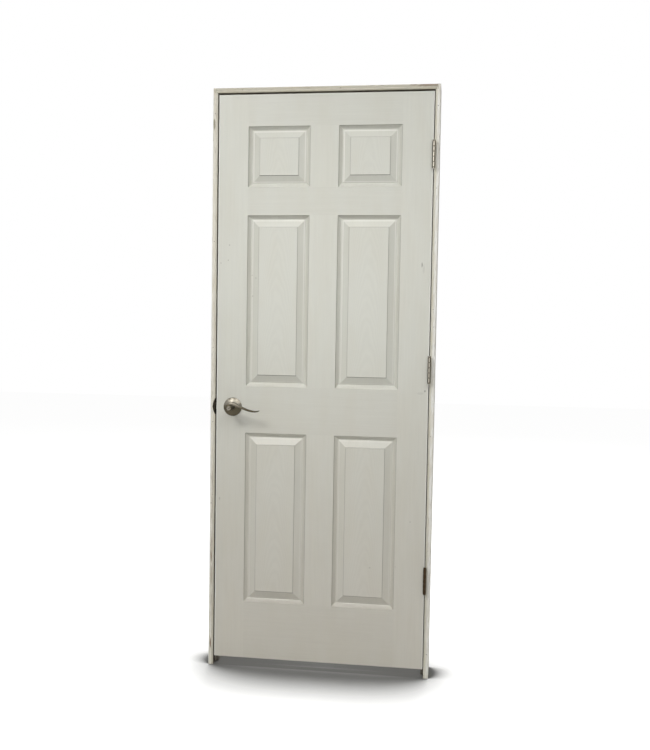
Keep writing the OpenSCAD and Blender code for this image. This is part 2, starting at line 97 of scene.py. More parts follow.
# Marks are across, up, half width, half height and strength.
SMUDGES_MM = (
    (42, 1501, 2.6, 3.0, 0.3),
    (11, 1437, 2.2, 3.4, 0.35),
    (38, 1447, 2.4, 2.4, 0.35),
    (124, 1394, 2.8, 2.4, 0.25),
    (139, 1384, 2.2, 3.0, 0.25),
    (127, 1320, 2.6, 3.0, 0.25),
    (731, 1434, 2.2, 9, 0.6),
    (737, 1419, 4, 14, 0.12),
    (750, 993, 3, 4, 0.6),
    (735, 985, 14, 4, 0.12),
    (567, 356, 3, 3, 0.25),
    (708, 528, 3, 3, 0.25),
    (658, 364, 3, 2.6, 0.2),
    (14, 583, 3, 6, 0.25),
)
NAIL_HOLES_MM = (
    (-14.7, 1967),
    (-14.7, 1514),
    (-15.0, 1133),
    (-11.3, 1054),
    (-13.7, 863),
    (-11.7, 596),
    (-17.1, 565),
    (-13.9, 539),
    (84, 2049),
    (434, 2049),
    (775, 1982),
    (775.3, 1700),
    (772.6, 1280),
    (775.4, 1219),
    (773, 834),
    (772.3, 426),
    (772, 253),
    (775.4, 54),
)
TORN_MM = (
    (-12.5, 640, 1.6, 60, 0.55),
    (-13.0, 545, 2.2, 70, 0.5),
    (-15.0, 420, 2.0, 40, 0.55),
    (-15.2, 371, 2.6, 26, 1.0),
    (-14.5, 300, 2.6, 40, 0.5),
    (-12.0, 190, 3.4, 70, 0.35),
    (-15.3, 46, 2.8, 22, 0.95),
    (772.6, 530, 1.5, 22, 0.5),
    (771.9, 465, 1.3, 48, 0.75),
    (772.8, 190, 2.0, 60, 0.25),
    (738, 2052.5, 44, 5.0, 0.75),
    (690, 2054, 16, 3.0, 0.7),
    (300, 2052, 80, 1.6, 0.25),
)
OLD_FILLER_MM = (
    (-13, 2047, 8, 8, 0.5),
    (768, 2046, 8, 9, 0.35),
    (-19, 1930, 4, 20, 0.8),
    (-20, 1860, 2.5, 60, 0.35),
)


def linear(code):
    """An sRGB hex colour as linear red, green, blue and alpha."""
    parts = [int(code[i : i + 2], 16) / 255 for i in (1, 3, 5)]
    return tuple(c / 12.92 if c <= 0.04045 else ((c + 0.055) / 1.055) ** 2.4 for c in parts) + (1.0,)


def colour(code, name, description):
    """A colour property with a default given as sRGB hex."""
    return bpy.props.FloatVectorProperty(
        name=name, description=description, subtype="COLOR", size=4, min=0, max=1, default=linear(code)
    )


def length(value_mm, name, description):
    """A length property with a default given in millimetres."""
    return bpy.props.FloatProperty(
        name=name, description=description, unit="LENGTH", min=0, precision=4, default=value_mm * MM
    )


class DoorPaint(bpy.types.PropertyGroup):
    """Colours and grain of the painted wood."""

    leaf: colour("#D8D8CE", "Leaf paint", "Semi-gloss off-white on the pressed facings")
    # The lower leaf paint makes the facings a little darker and warmer towards the bottom.
    low: colour("#D4D0C5", "Lower leaf paint", "The facings' paint low down, warmer with handling")
    # The clean near-white is also a painted highlight on the leaf's ridges and edges and on the jambs' outer corners.
    # On the sealant lip it is the sealant's own white.
    clean: colour("#F0EFE8", "Clean ridge", "Paint rubbed clean on the mouldings' ridges and the leaf's edges")
    jamb: colour("#D5D2C4", "Jamb paint", "Off-white on the jambs and stops, a little yellower with age")
    cream: colour("#E6E1D3", "Outer paint", "Lighter cream that the casing kept clean")
    bare: colour("#86705A", "Bare wood", "Aged softwood where the paint is torn off")
    pine: colour("#C9A878", "Fresh pine", "Softwood inside the leaf")
    # Grime is also the tone of painted shade along the leaf's mouldings' rims and steps and on its rails.
    grime_and_shade: colour("#6A6459", "Grime", "Hand marks and scuffs")
    filler: colour("#A5A08C", "Old filler", "Grey olive filler and sealant left at the edges")
    stain: colour("#C4B99C", "Yellowed paint", "Yellow stain on the jambs' front edges")
    # This brown is painted shade in the gaps beside and behind the closed leaf and at the frame's foot, and dirt and
    # painted shade in the nail holes.
    dirt_and_shade: colour("#4A3F36", "Gap dirt", "Brown dirt on the jambs beside the closed leaf")
    grain_w: length(1.0, "Grain width", "Width of one raised grain line")
    grain_l: length(55, "Grain length", "Length of one raised grain line")


class DoorMetal(bpy.types.PropertyGroup):
    """Colours of the metal pieces."""

    nickel: colour("#868176", "Satin nickel", "Warm grey plate on the lever set and hinges")
    # This bright nickel is a painted highlight down the hinges' barrels.
    bright: colour("#CBC5B8", "Rubbed nickel", "Plate rubbed bright on the hinges' barrels")
    # The tarnish brown is also the painted dark reflection on the lever set's lower parts and round the lever's axis,
    # and partly on the hinges.
    tarnish_and_dark_reflection: colour("#4A4436", "Tarnish", "Brown film where the plate has dulled")
    # The lowest hinge's dark brown is a painted dark reflection, not a plate of its own.
    bottom_hinge_dark: colour("#3A2E20", "Dark hinge", "Brown plate of the lowest hinge, dulled almost to black")
    strike: colour("#2B2721", "Strike plate", "Dark olive, dulled plate")
    steel: colour("#A6A39B", "Latch steel", "Plated steel of the latch and screws")
    screw_d: length(8.2, "Screw head", "Diameter of a countersunk screw head")


class DoorWear(bpy.types.PropertyGroup):
    """What the removed casing left on the jambs' front edges."""

    reveal: length(6.2, "Reveal", "Distance of the old casing's paint line from the jamb's inner edge")
    ridge_w: length(1.6, "Ridge width", "Width of the paint line's ridge")
    ridge_h: length(0.6, "Ridge height", "Height of the paint line's ridge")
    nail_d: length(3.2, "Nail hole", "Diameter of a nail hole")
    lip_w: length(1.8, "Sealant lip", "Width of the sealant lip on the strike jamb's outer corner")
    edge: length(0.8, "Edge rounding", "How far the paint rounds the leaf's and the jambs' corners")


class DoorStage(bpy.types.PropertyGroup):
    """The floor, lamps and camera."""

    floor: colour("#F2F2F0", "Floor", "Plain pale floor")
    shadow: colour("#7E7E7D", "Floor shadow", "The floor close under the door, where its soft shadow is deepest")
    floor_size: bpy.props.FloatProperty(
        name="Floor size", description="Side of the square floor", unit="LENGTH", default=24.0
    )
    floor_glow: bpy.props.FloatProperty(
        name="Floor glow", description="Brings the open floor up to white in the picture", min=0, default=0.9
    )
    shadow_reach: bpy.props.FloatProperty(
        name="Shadow reach",
        description="How far from the door the floor's glow fades into its soft shadow",
        unit="LENGTH",
        default=0.42,
    )
    key_power: bpy.props.FloatProperty(
        name="Key light", description="Power of the soft lamp at the upper left", unit="POWER", default=8.9
    )
    fill_power: bpy.props.FloatProperty(
        name="Fill light", description="Power of the soft lamp above the camera", unit="POWER", default=5.6
    )
    front_power: bpy.props.FloatProperty(
        name="Front light", description="Power of the wide soft panel behind the camera", unit="POWER", default=17.0
    )
    top_power: bpy.props.FloatProperty(
        name="Top light", description="Power of the soft lamp high in front", unit="POWER", default=2.0
    )
    back_power: bpy.props.FloatProperty(
        name="Back light", description="Power of the lamp behind the door", unit="POWER", default=110.0
    )
    ambient: bpy.props.FloatProperty(
        name="Ambient", description="Strength of the even light from all round", min=0, default=0.09
    )
    lens: bpy.props.FloatProperty(
        name="Lens", description="Focal length on a 36 mm frame", unit="CAMERA", default=44.16
    )


def put(tree, kind, sockets=None, **settings):
    """Adds a node with its settings, fills its sockets with values or other nodes' outputs, gives its outputs."""
    made = tree.nodes.new(kind)
    for field, value in settings.items():
        setattr(made, field, value)
    for key, value in (sockets or {}).items():
        if isinstance(value, bpy.types.NodeSocket):
            tree.links.new(value, made.inputs[key])
        else:
            made.inputs[key].default_value = value
    return made.outputs


def new_material(name):
    """An empty node material, its tree, and the place of a shaded point in the row's frame in metres, which
    moves with the piece."""
    made = bpy.data.materials.new(name)
    made.use_nodes = True
    tree = made.node_tree
    tree.nodes.clear()
    return made, tree, put(tree, "ShaderNodeTexCoord")["Object"]


def finish_material(tree, sockets):
    """The shader and the output that end a material."""
    shader = put(tree, "ShaderNodeBsdfPrincipled", sockets)["BSDF"]
    put(tree, "ShaderNodeOutputMaterial", {"Surface": shader})


def in_sizes(tree, where, sizes_mm):
    """The place counted in pattern sizes, given along X, Y and Z in millimetres."""
    per_metre = tuple(1 / (s * MM) for s in sizes_mm)
    return put(tree, "ShaderNodeVectorMath", {0: where, 1: per_metre}, operation="MULTIPLY")[0]


def blotches(tree, where, sizes_mm, span=(0.0, 1.0), share=1.0, detail=3.0):
    """Ragged soft patches of a size: 0 where the noise is under the span, share where it is over it."""
    spread = put(
        tree, "ShaderNodeTexNoise", {"Vector": in_sizes(tree, where, sizes_mm), "Scale": 1.0, "Detail": detail}
    )["Fac"]
    return put(
        tree,
        "ShaderNodeMapRange",
        {"Value": spread, "From Min": span[0], "From Max": span[1], "To Max": share},
        interpolation_type="SMOOTHSTEP",
    )[0]


def band(tree, value, low, high, soft=0.5 * MM):
    """1 where a length lies between low and high, with soft edges."""
    above, below = [
        put(
            tree,
            "ShaderNodeMapRange",
            {"Value": value, "From Min": edge - soft, "From Max": edge + soft, "To Min": start, "To Max": 1 - start},
            interpolation_type="SMOOTHSTEP",
        )[0]
        for edge, start in ((low, 0), (high, 1))
    ]
    return put(tree, "ShaderNodeMath", {0: above, 1: below}, operation="MULTIPLY")[0]


def marks(tree, where, rows_mm, ragged):
    """The strongest of some oval marks on the front, each given as across, up, half width, half height and
    strength. Ragged is noise that frays their edges."""
    found = None
    for across, up, half_w, half_h, strength in rows_mm:
        centre = CORNER + Vector((across, 0, up)) * MM
        per = Vector((1 / half_w, 0, 1 / half_h)) / MM
        start = Vector(-c * p for c, p in zip(centre, per))
        apart = put(tree, "ShaderNodeVectorMath", {0: where, 1: per, 2: start}, operation="MULTIPLY_ADD")[0]
        reach = put(tree, "ShaderNodeVectorMath", {0: apart}, operation="LENGTH")["Value"]
        frayed = put(tree, "ShaderNodeMath", {0: ragged, 1: 0.9, 2: reach}, operation="MULTIPLY_ADD")[0]
        mark = put(
            tree,
            "ShaderNodeMapRange",
            {"Value": frayed, "From Min": 0.9, "From Max": 1.7, "To Min": strength, "To Max": 0.0},
            interpolation_type="SMOOTHSTEP",
        )[0]
        found = mark if found is None else put(tree, "ShaderNodeMath", {0: found, 1: mark}, operation="MAXIMUM")[0]
    return found


def on_piece(rows_mm, low, high):
    """The rows whose centre lies on the front of a box."""
    kept = []
    for row in rows_mm:
        centre = CORNER + Vector((row[0], 0, row[1])) * MM
        if low.x <= centre.x <= high.x and low.z <= centre.z <= high.z:
            kept.append(row)
    return kept


def dress(material, names):
    """Gives CAD nodes a material."""
    for name in names:
        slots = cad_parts[name].data.materials
        slots.clear()
        slots.append(material)


def round_edges(names, width):
    """Rounds the sharp corners of painted CAD nodes, as a film of paint does."""
    for name in names:
        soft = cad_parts[name].modifiers.new("paint_edge", "BEVEL")
        soft.width = width
        soft.segments = 2
        soft.limit_method = "ANGLE"
        soft.angle_limit = math.radians(60)
        soft.harden_normals = True


def leaf_paint(paint):
    """Semi-gloss latex paint on pressed fibreboard: an even off-white film that the pressed wood grain shows
    through as fine raised lines, upright on the stiles, level on the rails and arched in the raised fields."""
    made, tree, where = new_material("semi_gloss_paint_on_pressed_fibreboard")
    axes = put(tree, "ShaderNodeSeparateXYZ", {"Vector": where})
    across, up = axes["X"], axes["Z"]

    between = band(tree, across, LEAF_LOW.x + STILE_MM * MM, LEAF_HIGH.x - STILE_MM * MM)
    middle = (LEAF_LOW.x + LEAF_HIGH.x) / 2
    from_middle = put(tree, "ShaderNodeMath", {0: across, 1: middle}, operation="SUBTRACT")[0]
    from_middle = put(tree, "ShaderNodeMath", {0: from_middle}, operation="ABSOLUTE")[0]
    sill_rows = [(low - 1, low + 3) for low, _ in PANEL_ROWS_MM]
    under_rows = [(low + STEP_MM[0] - 0.5, low + STEP_MM[1]) for low, _ in PANEL_ROWS_MM]
    panels, fields, sills, unders = [
        [band(tree, up, LEAF_LOW.z + low * MM, LEAF_LOW.z + high * MM) for low, high in rows]
        for rows in (PANEL_ROWS_MM, FIELD_ROWS_MM, sill_rows, under_rows)
    ]
    panels, fields, sills, unders = [
        put(
            tree,
            "ShaderNodeMath",
            {0: put(tree, "ShaderNodeMath", {0: a, 1: b}, operation="ADD")[0], 1: c},
            operation="ADD",
        )[0]
        for a, b, c in (panels, fields, sills, unders)
    ]
    column = band(tree, from_middle, FIELD_COLUMN_MM[0] * MM, FIELD_COLUMN_MM[1] * MM)
    fields = put(tree, "ShaderNodeMath", {0: fields, 1: column}, operation="MULTIPLY")[0]
    outside = put(tree, "ShaderNodeMath", {0: 1.0, 1: panels}, operation="SUBTRACT")[0]
    rail = put(tree, "ShaderNodeMath", {0: between, 1: outside}, operation="MULTIPLY")[0]

    # A grain line is about 1 mm wide. The 6 mm figure is what shows at the photograph's size.
    grain_mm = (paint.grain_w / MM, 3, paint.grain_l / MM)
    pores, figure = [
        put(
            tree,
            "ShaderNodeTexNoise",
            {
                "Vector": put(
                    tree,
                    "ShaderNodeMix",
                    {0: rail, 4: in_sizes(tree, where, sizes), 5: in_sizes(tree, where, sizes[::-1])},
                    data_type="VECTOR",
                )[1],
                "Scale": 1.0,
                "Detail": 3.0,
                "Roughness": 0.6,
                "Distortion": bend,
            },
        )["Fac"]
        for sizes, bend in ((grain_mm, 0.0), ((6, 9, 170), 0.5))
    ]

    # Arched lines about 6 mm apart at a field's sides and 50 mm apart up its middle.
    aside = put(tree, "ShaderNodeMath", {0: from_middle, 1: FIELD_MIDDLE_MM * MM}, operation="SUBTRACT")[0]
    arch = put(tree, "ShaderNodeMath", {0: aside, 1: aside}, operation="MULTIPLY")[0]
    arch = put(tree, "ShaderNodeMath", {0: arch, 1: 10500.0, 2: figure}, operation="MULTIPLY_ADD")[0]
    arch = put(tree, "ShaderNodeMath", {0: up, 1: 110.0, 2: arch}, operation="MULTIPLY_ADD")[0]
    sway = blotches(tree, where, (60, 60, 150), share=14.0)
    arch = put(tree, "ShaderNodeMath", {0: arch, 1: sway}, operation="ADD")[0]
    arches = put(tree, "ShaderNodeMath", {0: arch}, operation="SINE")[0]
    arches = put(tree, "ShaderNodeMath", {0: arches, 1: 0.16, 2: 0.5}, operation="MULTIPLY_ADD")[0]
    lines = put(tree, "ShaderNodeMix", {0: fields, 2: figure, 3: arches}, data_type="FLOAT")[0]

    warm = blotches(tree, where, (70, 70, 240), (0.35, 0.7), 0.09, 4.0)
    # The paint turns darker and warmer below 1.2 m, fully at 0.2 m.
    low = put(tree, "ShaderNodeMapRange", {"Value": up, "From Min": 1.2, "From Max": 0.2})[0]
    film = put(tree, "ShaderNodeMix", {0: low, 6: tuple(paint.leaf), 7: tuple(paint.low)}, data_type="RGBA")[2]
    film = put(tree, "ShaderNodeMix", {0: warm, 6: film, 7: tuple(paint.stain)}, data_type="RGBA")[2]
    shade = put(
        tree, "ShaderNodeMapRange", {"Value": lines, "From Min": 0.3, "From Max": 0.7, "To Max": 0.04}
    )[0]
    # The rails take a 2.5 % darker tone as painted shade, for the duller sheen of their level grain.
    shade = put(tree, "ShaderNodeMath", {0: rail, 1: 0.025, 2: shade}, operation="MULTIPLY_ADD")[0]
    film = put(tree, "ShaderNodeMix", {0: shade, 6: film, 7: tuple(paint.grime_and_shade)}, data_type="RGBA")[2]
    # A painted highlight in the clean near-white lies on the mouldings' ridge, stronger high up, and along the leaf's
    # own edges. Painted shade darkens the mouldings' rim, partly as dirt, though not on the sills, and the fields'
    # step.
    off_panel = put(tree, "ShaderNodeMath", {0: aside}, operation="ABSOLUTE")[0]
    off_panel = put(tree, "ShaderNodeMath", {0: off_panel, 1: PANEL_HALF_MM * MM}, operation="SUBTRACT")[0]
    off_row = None
    for low, high in PANEL_ROWS_MM:
        centre, half = LEAF_LOW.z + (low + high) / 2 * MM, (high - low) / 2 * MM
        off = put(tree, "ShaderNodeMath", {0: up, 1: centre}, operation="SUBTRACT")[0]
        off = put(tree, "ShaderNodeMath", {0: off}, operation="ABSOLUTE")[0]
        off = put(tree, "ShaderNodeMath", {0: off, 1: half}, operation="SUBTRACT")[0]
        off_row = off if off_row is None else put(tree, "ShaderNodeMath", {0: off_row, 1: off}, operation="MINIMUM")[0]
    off_panel = put(tree, "ShaderNodeMath", {0: off_panel, 1: off_row}, operation="MAXIMUM")[0]
    ridge = band(tree, off_panel, -RIDGE_MM[1] * MM, -RIDGE_MM[0] * MM, 0.7 * MM)
    rim_dirt_and_shade = band(tree, off_panel, -RIM_MM * MM, 0.0)
    rim_dirt_and_shade = put(tree, "ShaderNodeMath", {0: rim_dirt_and_shade, 1: sills}, operation="SUBTRACT", use_clamp=True)[0]
    # The fields' step takes painted shade, most under their lower edges, which face down.
    step = band(tree, off_panel, -STEP_MM[1] * MM, -STEP_MM[0] * MM)
    under = put(tree, "ShaderNodeMath", {0: step, 1: unders}, operation="MULTIPLY")[0]
    leaf_half = (LEAF_HIGH.x - LEAF_LOW.x) / 2
    edge_highlight = band(tree, from_middle, leaf_half - 2.6 * MM, leaf_half + 1 * MM)
    # The ridge's painted highlight is stronger high up.
    upper = put(tree, "ShaderNodeMapRange", {"Value": up, "From Min": 0.9, "From Max": 1.7, "To Min": 0.25})[0]
    ridge = put(tree, "ShaderNodeMath", {0: ridge, 1: upper}, operation="MULTIPLY")[0]
    clean = put(tree, "ShaderNodeMath", {0: ridge, 1: edge_highlight}, operation="MAXIMUM")[0]
    for share, most, tint in (
        (rim_dirt_and_shade, 0.35, paint.grime_and_shade),
        (step, 0.4, paint.grime_and_shade),
        (under, 0.55, paint.grime_and_shade),
        (clean, 0.7, paint.clean),
    ):
        share = put(tree, "ShaderNodeMath", {0: share, 1: most}, operation="MULTIPLY")[0]
        film = put(tree, "ShaderNodeMix", {0: share, 6: film, 7: tuple(tint)}, data_type="RGBA")[2]
    ragged = blotches(tree, where, (9, 9, 14))
    soil = marks(tree, where, SMUDGES_MM, ragged)
    film = put(tree, "ShaderNodeMix", {0: soil, 6: film, 7: tuple(paint.grime_and_shade)}, data_type="RGBA")[2]

    raised = put(tree, "ShaderNodeMath", {0: lines, 1: 1.8, 2: pores}, operation="MULTIPLY_ADD")[0]
    raised = put(
        tree, "ShaderNodeMath", {0: blotches(tree, where, (2.2, 2.2, 2.2)), 1: 0.5, 2: raised}, operation="MULTIPLY_ADD"
    )[0]
    # The pressed hollow and bevel are steeper at their ends than the plain slopes of the mesh.
    cove, bevel = [
        put(
            tree,
            "ShaderNodeMapRange",
            {"Value": off_panel, "From Min": -start * MM, "From Max": -end * MM, "To Max": rise * MM},
        )[0]
        for start, end, rise in ((0, COVE_MM, -CRISP_MM[0]), (*BEVEL_MM, CRISP_MM[1]))
    ]
    crisp = put(tree, "ShaderNodeMath", {0: cove, 1: bevel}, operation="ADD")[0]
    crisp = put(tree, "ShaderNodeBump", {"Height": crisp, "Distance": 1.0, "Strength": 1.0})[0]
    gloss = blotches(tree, where, (40, 40, 60))
    finish_material(
        tree,
        {
            "Base Color": film,
            "Roughness": put(tree, "ShaderNodeMapRange", {"Value": gloss, "To Min": 0.29, "To Max": 0.38})[0],
            "IOR": 1.47,
            "Normal": put(
                tree, "ShaderNodeBump", {"Height": raised, "Distance": 0.2 * MM, "Strength": 0.7, "Normal": crisp}
            )[0],
        },
    )
    return made


def jamb_paint(name, paint, wear, aged, highlight_share, axis, inner, outer, low, high):
    """Old latex paint on pine: off-white with brush ripple, a lighter cream on the outer side of the line where
    the casing sat, yellow and grey blotches, and bare wood where the casing's paint tore away."""
    made, tree, where = new_material(name)
    axes = put(tree, "ShaderNodeSeparateXYZ", {"Vector": where})
    side, depth = axes[axis], axes["Y"]
    lengthwise = (lambda w, l: (w, w, l)) if axis == "X" else (lambda w, l: (l, w, w))
    outward = math.copysign(1.0, outer - inner)
    line = inner + outward * wear.reveal

    front = band(tree, depth, FRONT - 5 * MM, FRONT + 1.2 * MM)
    beyond = put(
        tree, "ShaderNodeMath", {0: band(tree, side, *sorted((line, outer + outward * 5 * MM))), 1: front},
        operation="MULTIPLY",
    )[0]
    # Towards the outer corner, and more so low down, the cream turns to the clean near-white: a painted highlight.
    corner = put(
        tree, "ShaderNodeMapRange", {"Value": side, "From Min": line, "From Max": outer, "To Min": highlight_share}
    )[0]
    lower = put(
        tree, "ShaderNodeMapRange", {"Value": axes["Z"], "From Min": 1.7, "From Max": 0.4, "To Min": highlight_share}
    )[0]
    corner = put(tree, "ShaderNodeMath", {0: corner, 1: lower}, operation="MULTIPLY")[0]
    kept = put(tree, "ShaderNodeMix", {0: corner, 6: tuple(paint.cream), 7: tuple(paint.clean)}, data_type="RGBA")[2]
    film = put(tree, "ShaderNodeMix", {0: beyond, 6: tuple(paint.jamb), 7: kept}, data_type="RGBA")[2]
    film = put(tree, "ShaderNodeMix", {0: aged, 6: film, 7: tuple(paint.filler)}, data_type="RGBA")[2]
    yellow = blotches(tree, where, lengthwise(7, 60), (0.42, 0.62), 0.3, 4.0)
    grey = blotches(tree, where, lengthwise(5, 28), (0.56, 0.74), 0.25, 4.0)
    for share, tint in ((yellow, paint.stain), (grey, paint.grime_and_shade)):
        share = put(tree, "ShaderNodeMath", {0: share, 1: front}, operation="MULTIPLY")[0]
        film = put(tree, "ShaderNodeMix", {0: share, 6: film, 7: tuple(tint)}, data_type="RGBA")[2]

    # Beside the casing's paint line: a thin brown line of painted shadow, broken along its length.
    ridge_shadow = band(tree, side, line - 0.9 * MM, line + 0.9 * MM)
    ridge_shadow = put(tree, "ShaderNodeMath", {0: ridge_shadow, 1: front}, operation="MULTIPLY")[0]
    broken = blotches(tree, where, lengthwise(30, 120), (0.35, 0.65), 0.75)
    ridge_shadow = put(tree, "ShaderNodeMath", {0: ridge_shadow, 1: broken}, operation="MULTIPLY")[0]
    film = put(tree, "ShaderNodeMix", {0: ridge_shadow, 6: film, 7: tuple(paint.bare)}, data_type="RGBA")[2]

    ragged = blotches(tree, where, lengthwise(3, 16), detail=4.0)
    # Nail holes take the same brown: dirt and painted shade in the holes, sunk by the bump below.
    nails = [(a, u, wear.nail_d / MM / 2, wear.nail_d / MM / 2, 0.85) for a, u in NAIL_HOLES_MM]
    pits = None
    for rows, tint in ((OLD_FILLER_MM, paint.filler), (TORN_MM, paint.bare), (nails, paint.dirt_and_shade)):
        pits = marks(tree, where, on_piece(rows, low, high), ragged)
        share = put(tree, "ShaderNodeMath", {0: pits, 1: front}, operation="MULTIPLY")[0]
        film = put(tree, "ShaderNodeMix", {0: share, 6: film, 7: tuple(tint)}, data_type="RGBA")[2]

    # Painted shade in a dirt brown darkens the jamb's inner face beside the closed leaf, in patches and fully at the
    # foot.
    beside = band(tree, side, inner - 0.7 * MM, inner + 0.7 * MM)
    hidden = band(tree, depth, FRONT + 1.6 * MM, LEAF_BACK)
    gap_shade = put(tree, "ShaderNodeMath", {0: beside, 1: hidden}, operation="MULTIPLY")[0]
    patchy = blotches(tree, where, lengthwise(20, 120), (0.1, 0.6), 0.75)
    foot = put(tree, "ShaderNodeMapRange", {"Value": axes["Z"], "From Min": 60 * MM, "From Max": 25 * MM})[0]
    patchy = put(tree, "ShaderNodeMath", {0: patchy, 1: foot}, operation="MAXIMUM")[0]
    gap_shade = put(tree, "ShaderNodeMath", {0: gap_shade, 1: patchy}, operation="MULTIPLY")[0]
    film = put(tree, "ShaderNodeMix", {0: gap_shade, 6: film, 7: tuple(paint.dirt_and_shade)}, data_type="RGBA")[2]

    ripple = blotches(tree, where, lengthwise(3, 90))
    sunk = put(tree, "ShaderNodeMath", {0: ripple, 1: pits}, operation="SUBTRACT")[0]
    finish_material(
        tree,
        {
            "Base Color": film,
            "Roughness": 0.5,
            "IOR": 1.47,
            "Normal": put(tree, "ShaderNodeBump", {"Height": sunk, "Distance": 0.4 * MM, "Strength": 0.6})[0],
        },
    )
    return made


def plain_paint(name, tint, paint, shaded_depth=None):
    """Brushed latex paint on a milled strip: even off-white with a faint brush ripple along its length. Painted
    shade in a dirt brown darkens a face at the given depth, in the gap behind the closed leaf, and the foot that stood
    on the floor."""
    made, tree, where = new_material(name)
    aged = blotches(tree, where, (30, 30, 80), (0.4, 0.7), 0.25, 4.0)
    film = put(tree, "ShaderNodeMix", {0: aged, 6: tuple(tint), 7: tuple(paint.stain)}, data_type="RGBA")[2]
    if shaded_depth is not None:
        axes = put(tree, "ShaderNodeSeparateXYZ", {"Vector": where})
        # Painted shade on the stop's face in the gap, and at its foot.
        face = band(tree, axes["Y"], shaded_depth - 1 * MM, shaded_depth + 1 * MM)
        foot = put(tree, "ShaderNodeMapRange", {"Value": axes["Z"], "From Min": 60 * MM, "From Max": 25 * MM})[0]
        dirt = put(tree, "ShaderNodeMath", {0: face, 1: foot}, operation="MAXIMUM")[0]
        dirt = put(tree, "ShaderNodeMath", {0: dirt, 1: 0.8}, operation="MULTIPLY")[0]
        film = put(tree, "ShaderNodeMix", {0: dirt, 6: film, 7: tuple(paint.dirt_and_shade)}, data_type="RGBA")[2]
    ripple = blotches(tree, where, (2, 2, 60))
    finish_material(
        tree,
        {
            "Base Color": film,
            "Roughness": 0.5,
            "IOR": 1.47,
            "Normal": put(tree, "ShaderNodeBump", {"Height": ripple, "Distance": 0.15 * MM, "Strength": 0.5})[0],
        },
    )
    return made


def pine(name, paint, coat_share):
    """Sawn pine: pale tan with darker growth lines about 4 mm apart, under a thin coat of paint where it shows."""
    made, tree, where = new_material(name)
    rings = blotches(tree, where, (4, 4, 220), (0.4, 0.65))
    wood = put(tree, "ShaderNodeMix", {0: rings, 6: tuple(paint.pine), 7: tuple(paint.bare)}, data_type="RGBA")[2]
    thin = blotches(tree, where, (8, 8, 30), (0.25, 0.5), coat_share, 4.0)
    thin = put(tree, "ShaderNodeMath", {0: thin, 1: coat_share * 0.85}, operation="MAXIMUM")[0]
    finish_material(
        tree,
        {
            "Base Color": put(tree, "ShaderNodeMix", {0: thin, 6: wood, 7: tuple(paint.jamb)}, data_type="RGBA")[2],
            "Roughness": 0.62,
            "Normal": put(tree, "ShaderNodeBump", {"Height": rings, "Distance": 0.2 * MM, "Strength": 0.5})[0],
        },
    )
    return made


def satin_nickel(name, metal, rough, dark_reflection_span=None, dark_reflection_ring=None):
    """Satin nickel plate, brushed and then lacquered: warm grey with soft reflections and fine brush lines. A
    brown film dulls it in patches. Below a given height, and in a ring round the lever's axis, it turns dark as a
    painted dark reflection."""
    made, tree, where = new_material(name)
    # Brush lines are 0.2 mm apart on the real piece, and are drawn 0.5 mm apart so that they show.
    brush = blotches(tree, where, (0.5, 0.5, 9))
    film = blotches(tree, where, (9, 9, 9), (0.42, 0.7), 0.75, 4.0)
    # Below a given height the plate turns dark nearly all over: a painted dark reflection.
    if dark_reflection_span:
        up = put(tree, "ShaderNodeSeparateXYZ", {"Vector": where})["Z"]
        lower = put(
            tree,
            "ShaderNodeMapRange",
            {"Value": up, "From Min": dark_reflection_span[0], "From Max": dark_reflection_span[1], "To Min": 0.95, "To Max": 0.0},
            interpolation_type="SMOOTHSTEP",
        )[0]
        film = put(tree, "ShaderNodeMath", {0: film, 1: lower}, operation="MAXIMUM")[0]
    # A ring round the lever's axis, on the hub's rounded edge, is painted dark as a painted reflection.
    if dark_reflection_ring:
        off_axis = put(
            tree, "ShaderNodeVectorMath", {0: where, 1: (LEVER_AXIS.x, 0.0, LEVER_AXIS.z)}, operation="SUBTRACT"
        )[0]
        off_axis = put(tree, "ShaderNodeVectorMath", {0: off_axis, 1: (1, 0, 1)}, operation="MULTIPLY")[0]
        off_axis = put(tree, "ShaderNodeVectorMath", {0: off_axis}, operation="LENGTH")["Value"]
        ring = band(tree, off_axis, *dark_reflection_ring, 0.8 * MM)
        film = put(tree, "ShaderNodeMath", {0: film, 1: ring}, operation="MAXIMUM")[0]
    finish_material(
        tree,
        {
            "Base Color": put(
                tree, "ShaderNodeMix", {0: film, 6: tuple(metal.nickel), 7: tuple(metal.tarnish_and_dark_reflection)}, data_type="RGBA"
            )[2],
            "Metallic": 1.0,
            "Roughness": put(
                tree, "ShaderNodeMapRange", {"Value": brush, "To Min": rough - 0.06, "To Max": rough + 0.08}
            )[0],
            "Normal": put(tree, "ShaderNodeBump", {"Height": brush, "Distance": 0.01 * MM, "Strength": 0.4})[0],
        },
    )
    return made


